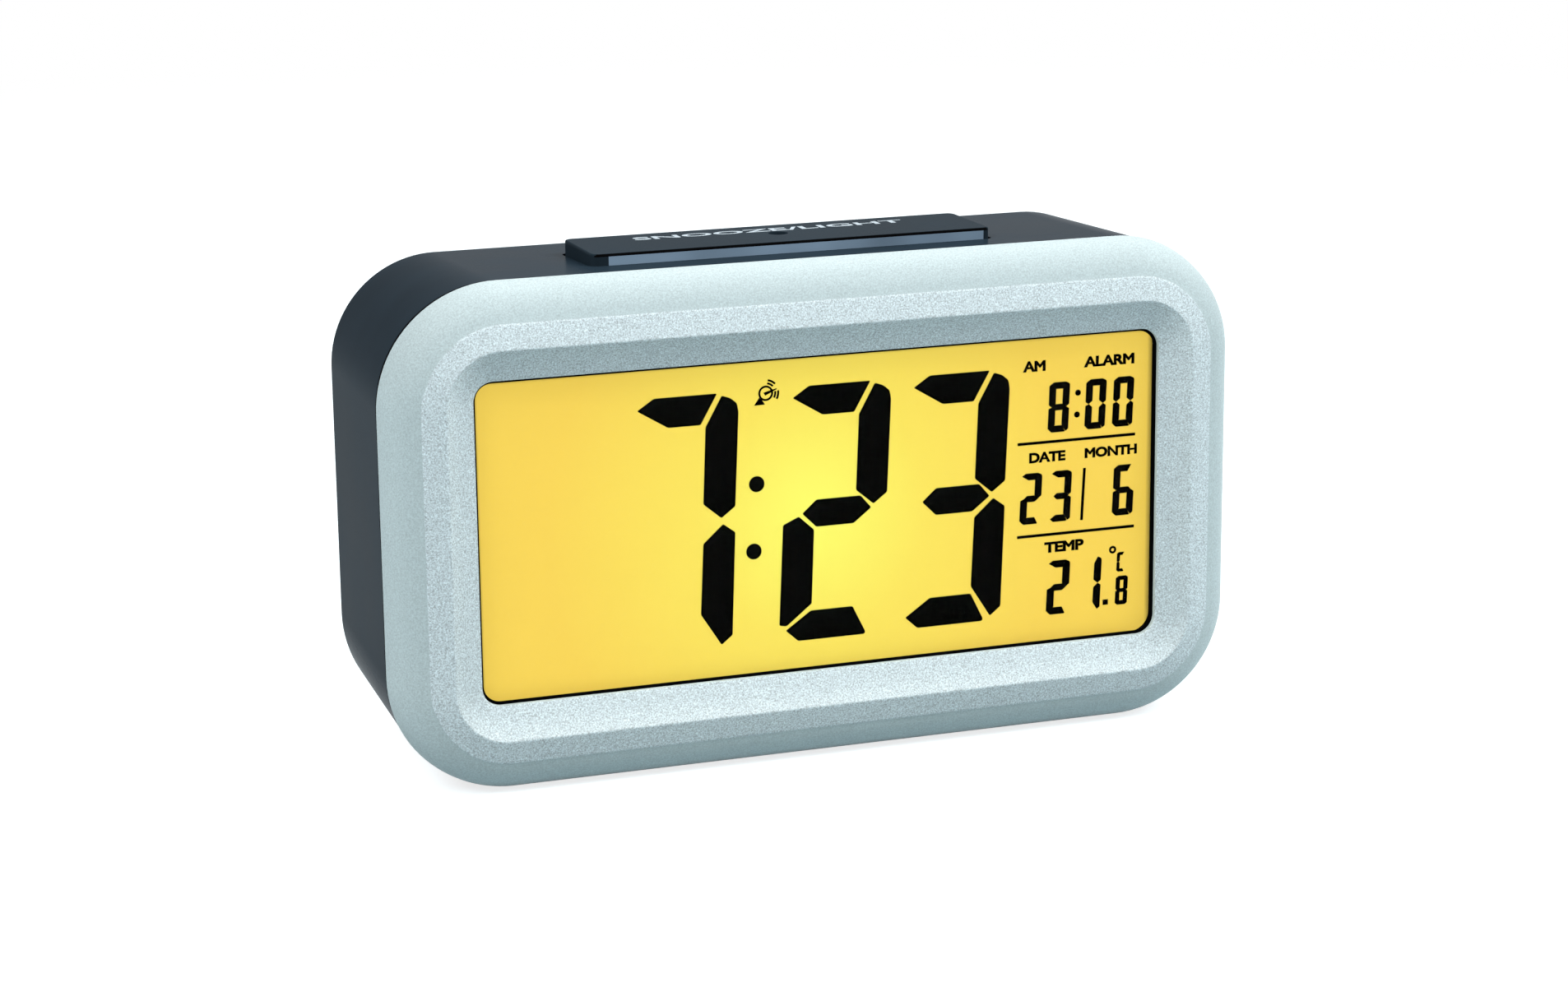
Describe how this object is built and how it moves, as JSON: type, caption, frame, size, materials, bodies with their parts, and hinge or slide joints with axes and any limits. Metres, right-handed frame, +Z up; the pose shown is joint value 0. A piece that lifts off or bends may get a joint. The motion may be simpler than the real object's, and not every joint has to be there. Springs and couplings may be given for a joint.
{
  "type": "digital alarm clock",
  "caption": "Radio-controlled LCD alarm clock with a deep silver front frame, amber display, wide snooze bar, rear buttons and a battery door.",
  "frame": {"origin": "centre of the footprint at the level of the flat underside", "axes": "+Z up, the display faces -Y, +X to the reader's right"},
  "size_m": [0.135, 0.045, 0.0776],
  "materials": {
    "silver_paint": "satin",
    "dark_plastic": "satin",
    "bar_plastic": "satin",
    "key_plastic": "matte",
    "clear_window": "polished",
    "display_glass": "gloss",
    "guide_plastic": "gloss",
    "white_plastic": "matte",
    "black_foam": "matte",
    "grey_rubber": "matte",
    "board_laminate": "satin",
    "part_black": "matte",
    "zinc_steel": "satin",
    "nickel_steel": "satin",
    "ferrite": "matte",
    "copper_wire": "satin",
    "cell_jacket": "gloss",
    "clear_resin": "gloss",
    "lamp_resin": "gloss"
  },
  "bodies": {
    "case": {"front_bezel": "silver_paint", "main_housing": "dark_plastic", "lens_window": "clear_window", "display_gasket": "black_foam", "lcd_panel": "display_glass", "light_guide": "guide_plastic", "display_tray": "white_plastic", "zebra_strip": "grey_rubber", "backlight_led_left": "lamp_resin", "backlight_led_right": "lamp_resin", "main_board": "board_laminate", "board_screw_left_low": "zinc_steel", "board_screw_right_low": "zinc_steel", "board_screw_left_high": "zinc_steel", "board_screw_right_high": "zinc_steel", "chip_blob": "part_black", "crystal": "nickel_steel", "capacitor_large": "part_black", "capacitor_small": "part_black", "ferrite_rod": "ferrite", "aerial_coil": "copper_wire", "rod_clip_left": "white_plastic", "rod_clip_right": "white_plastic", "bar_board": "board_laminate", "snooze_switch_left": "part_black", "snooze_switch_right": "part_black", "light_sensor": "clear_resin", "key_board": "board_laminate", "key_switch_1": "part_black", "key_switch_2": "part_black", "key_switch_3": "part_black", "key_switch_4": "part_black", "key_switch_5": "part_black", "slide_switch": "nickel_steel", "buzzer": "part_black", "thermistor": "board_laminate", "cell_1": "cell_jacket", "cell_2": "cell_jacket", "cell_3": "cell_jacket", "contact_left_low": "nickel_steel", "contact_left_high": "nickel_steel", "contact_right_low": "nickel_steel", "contact_right_high": "nickel_steel", "case_screw_left_low": "zinc_steel", "case_screw_right_low": "zinc_steel", "case_screw_left_high": "zinc_steel", "case_screw_right_high": "zinc_steel"},
    "snooze_bar_body": {"snooze_bar": "bar_plastic"},
    "mode_button_body": {"mode_button": "key_plastic"},
    "set_button_body": {"set_button": "key_plastic"},
    "up_button_body": {"up_button": "key_plastic"},
    "down_button_body": {"down_button": "key_plastic"},
    "wave_button_body": {"wave_button": "key_plastic"},
    "slide_knob_body": {"slide_knob": "key_plastic"},
    "battery_door_body": {"battery_door": "dark_plastic"}
  },
  "joints": [
    {"name": "snooze_press", "type": "slide", "parent": "case", "child": "snooze_bar_body", "axis": [0, 0, -1], "range_m": [0, 0.001], "stiffness_N_per_m": 1500, "springref_m": -0.0001},
    {"name": "mode_press", "type": "slide", "parent": "case", "child": "mode_button_body", "axis": [0, -1, 0], "range_m": [0, 0.0008], "stiffness_N_per_m": 1200},
    {"name": "set_press", "type": "slide", "parent": "case", "child": "set_button_body", "axis": [0, -1, 0], "range_m": [0, 0.0008], "stiffness_N_per_m": 1200},
    {"name": "up_press", "type": "slide", "parent": "case", "child": "up_button_body", "axis": [0, -1, 0], "range_m": [0, 0.0008], "stiffness_N_per_m": 1200},
    {"name": "down_press", "type": "slide", "parent": "case", "child": "down_button_body", "axis": [0, -1, 0], "range_m": [0, 0.0008], "stiffness_N_per_m": 1200},
    {"name": "wave_press", "type": "slide", "parent": "case", "child": "wave_button_body", "axis": [0, -1, 0], "range_m": [0, 0.0008], "stiffness_N_per_m": 1200},
    {"name": "knob_slide", "type": "slide", "parent": "case", "child": "slide_knob_body", "axis": [1, 0, 0], "range_m": [-0.00175, 0.00175]},
    {"name": "door_hinge", "type": "hinge", "parent": "case", "child": "battery_door_body", "pos_m": [0, 0.0225, 0.0056], "axis": [-1, 0, 0], "range_deg": [0, 90]}
  ]
}
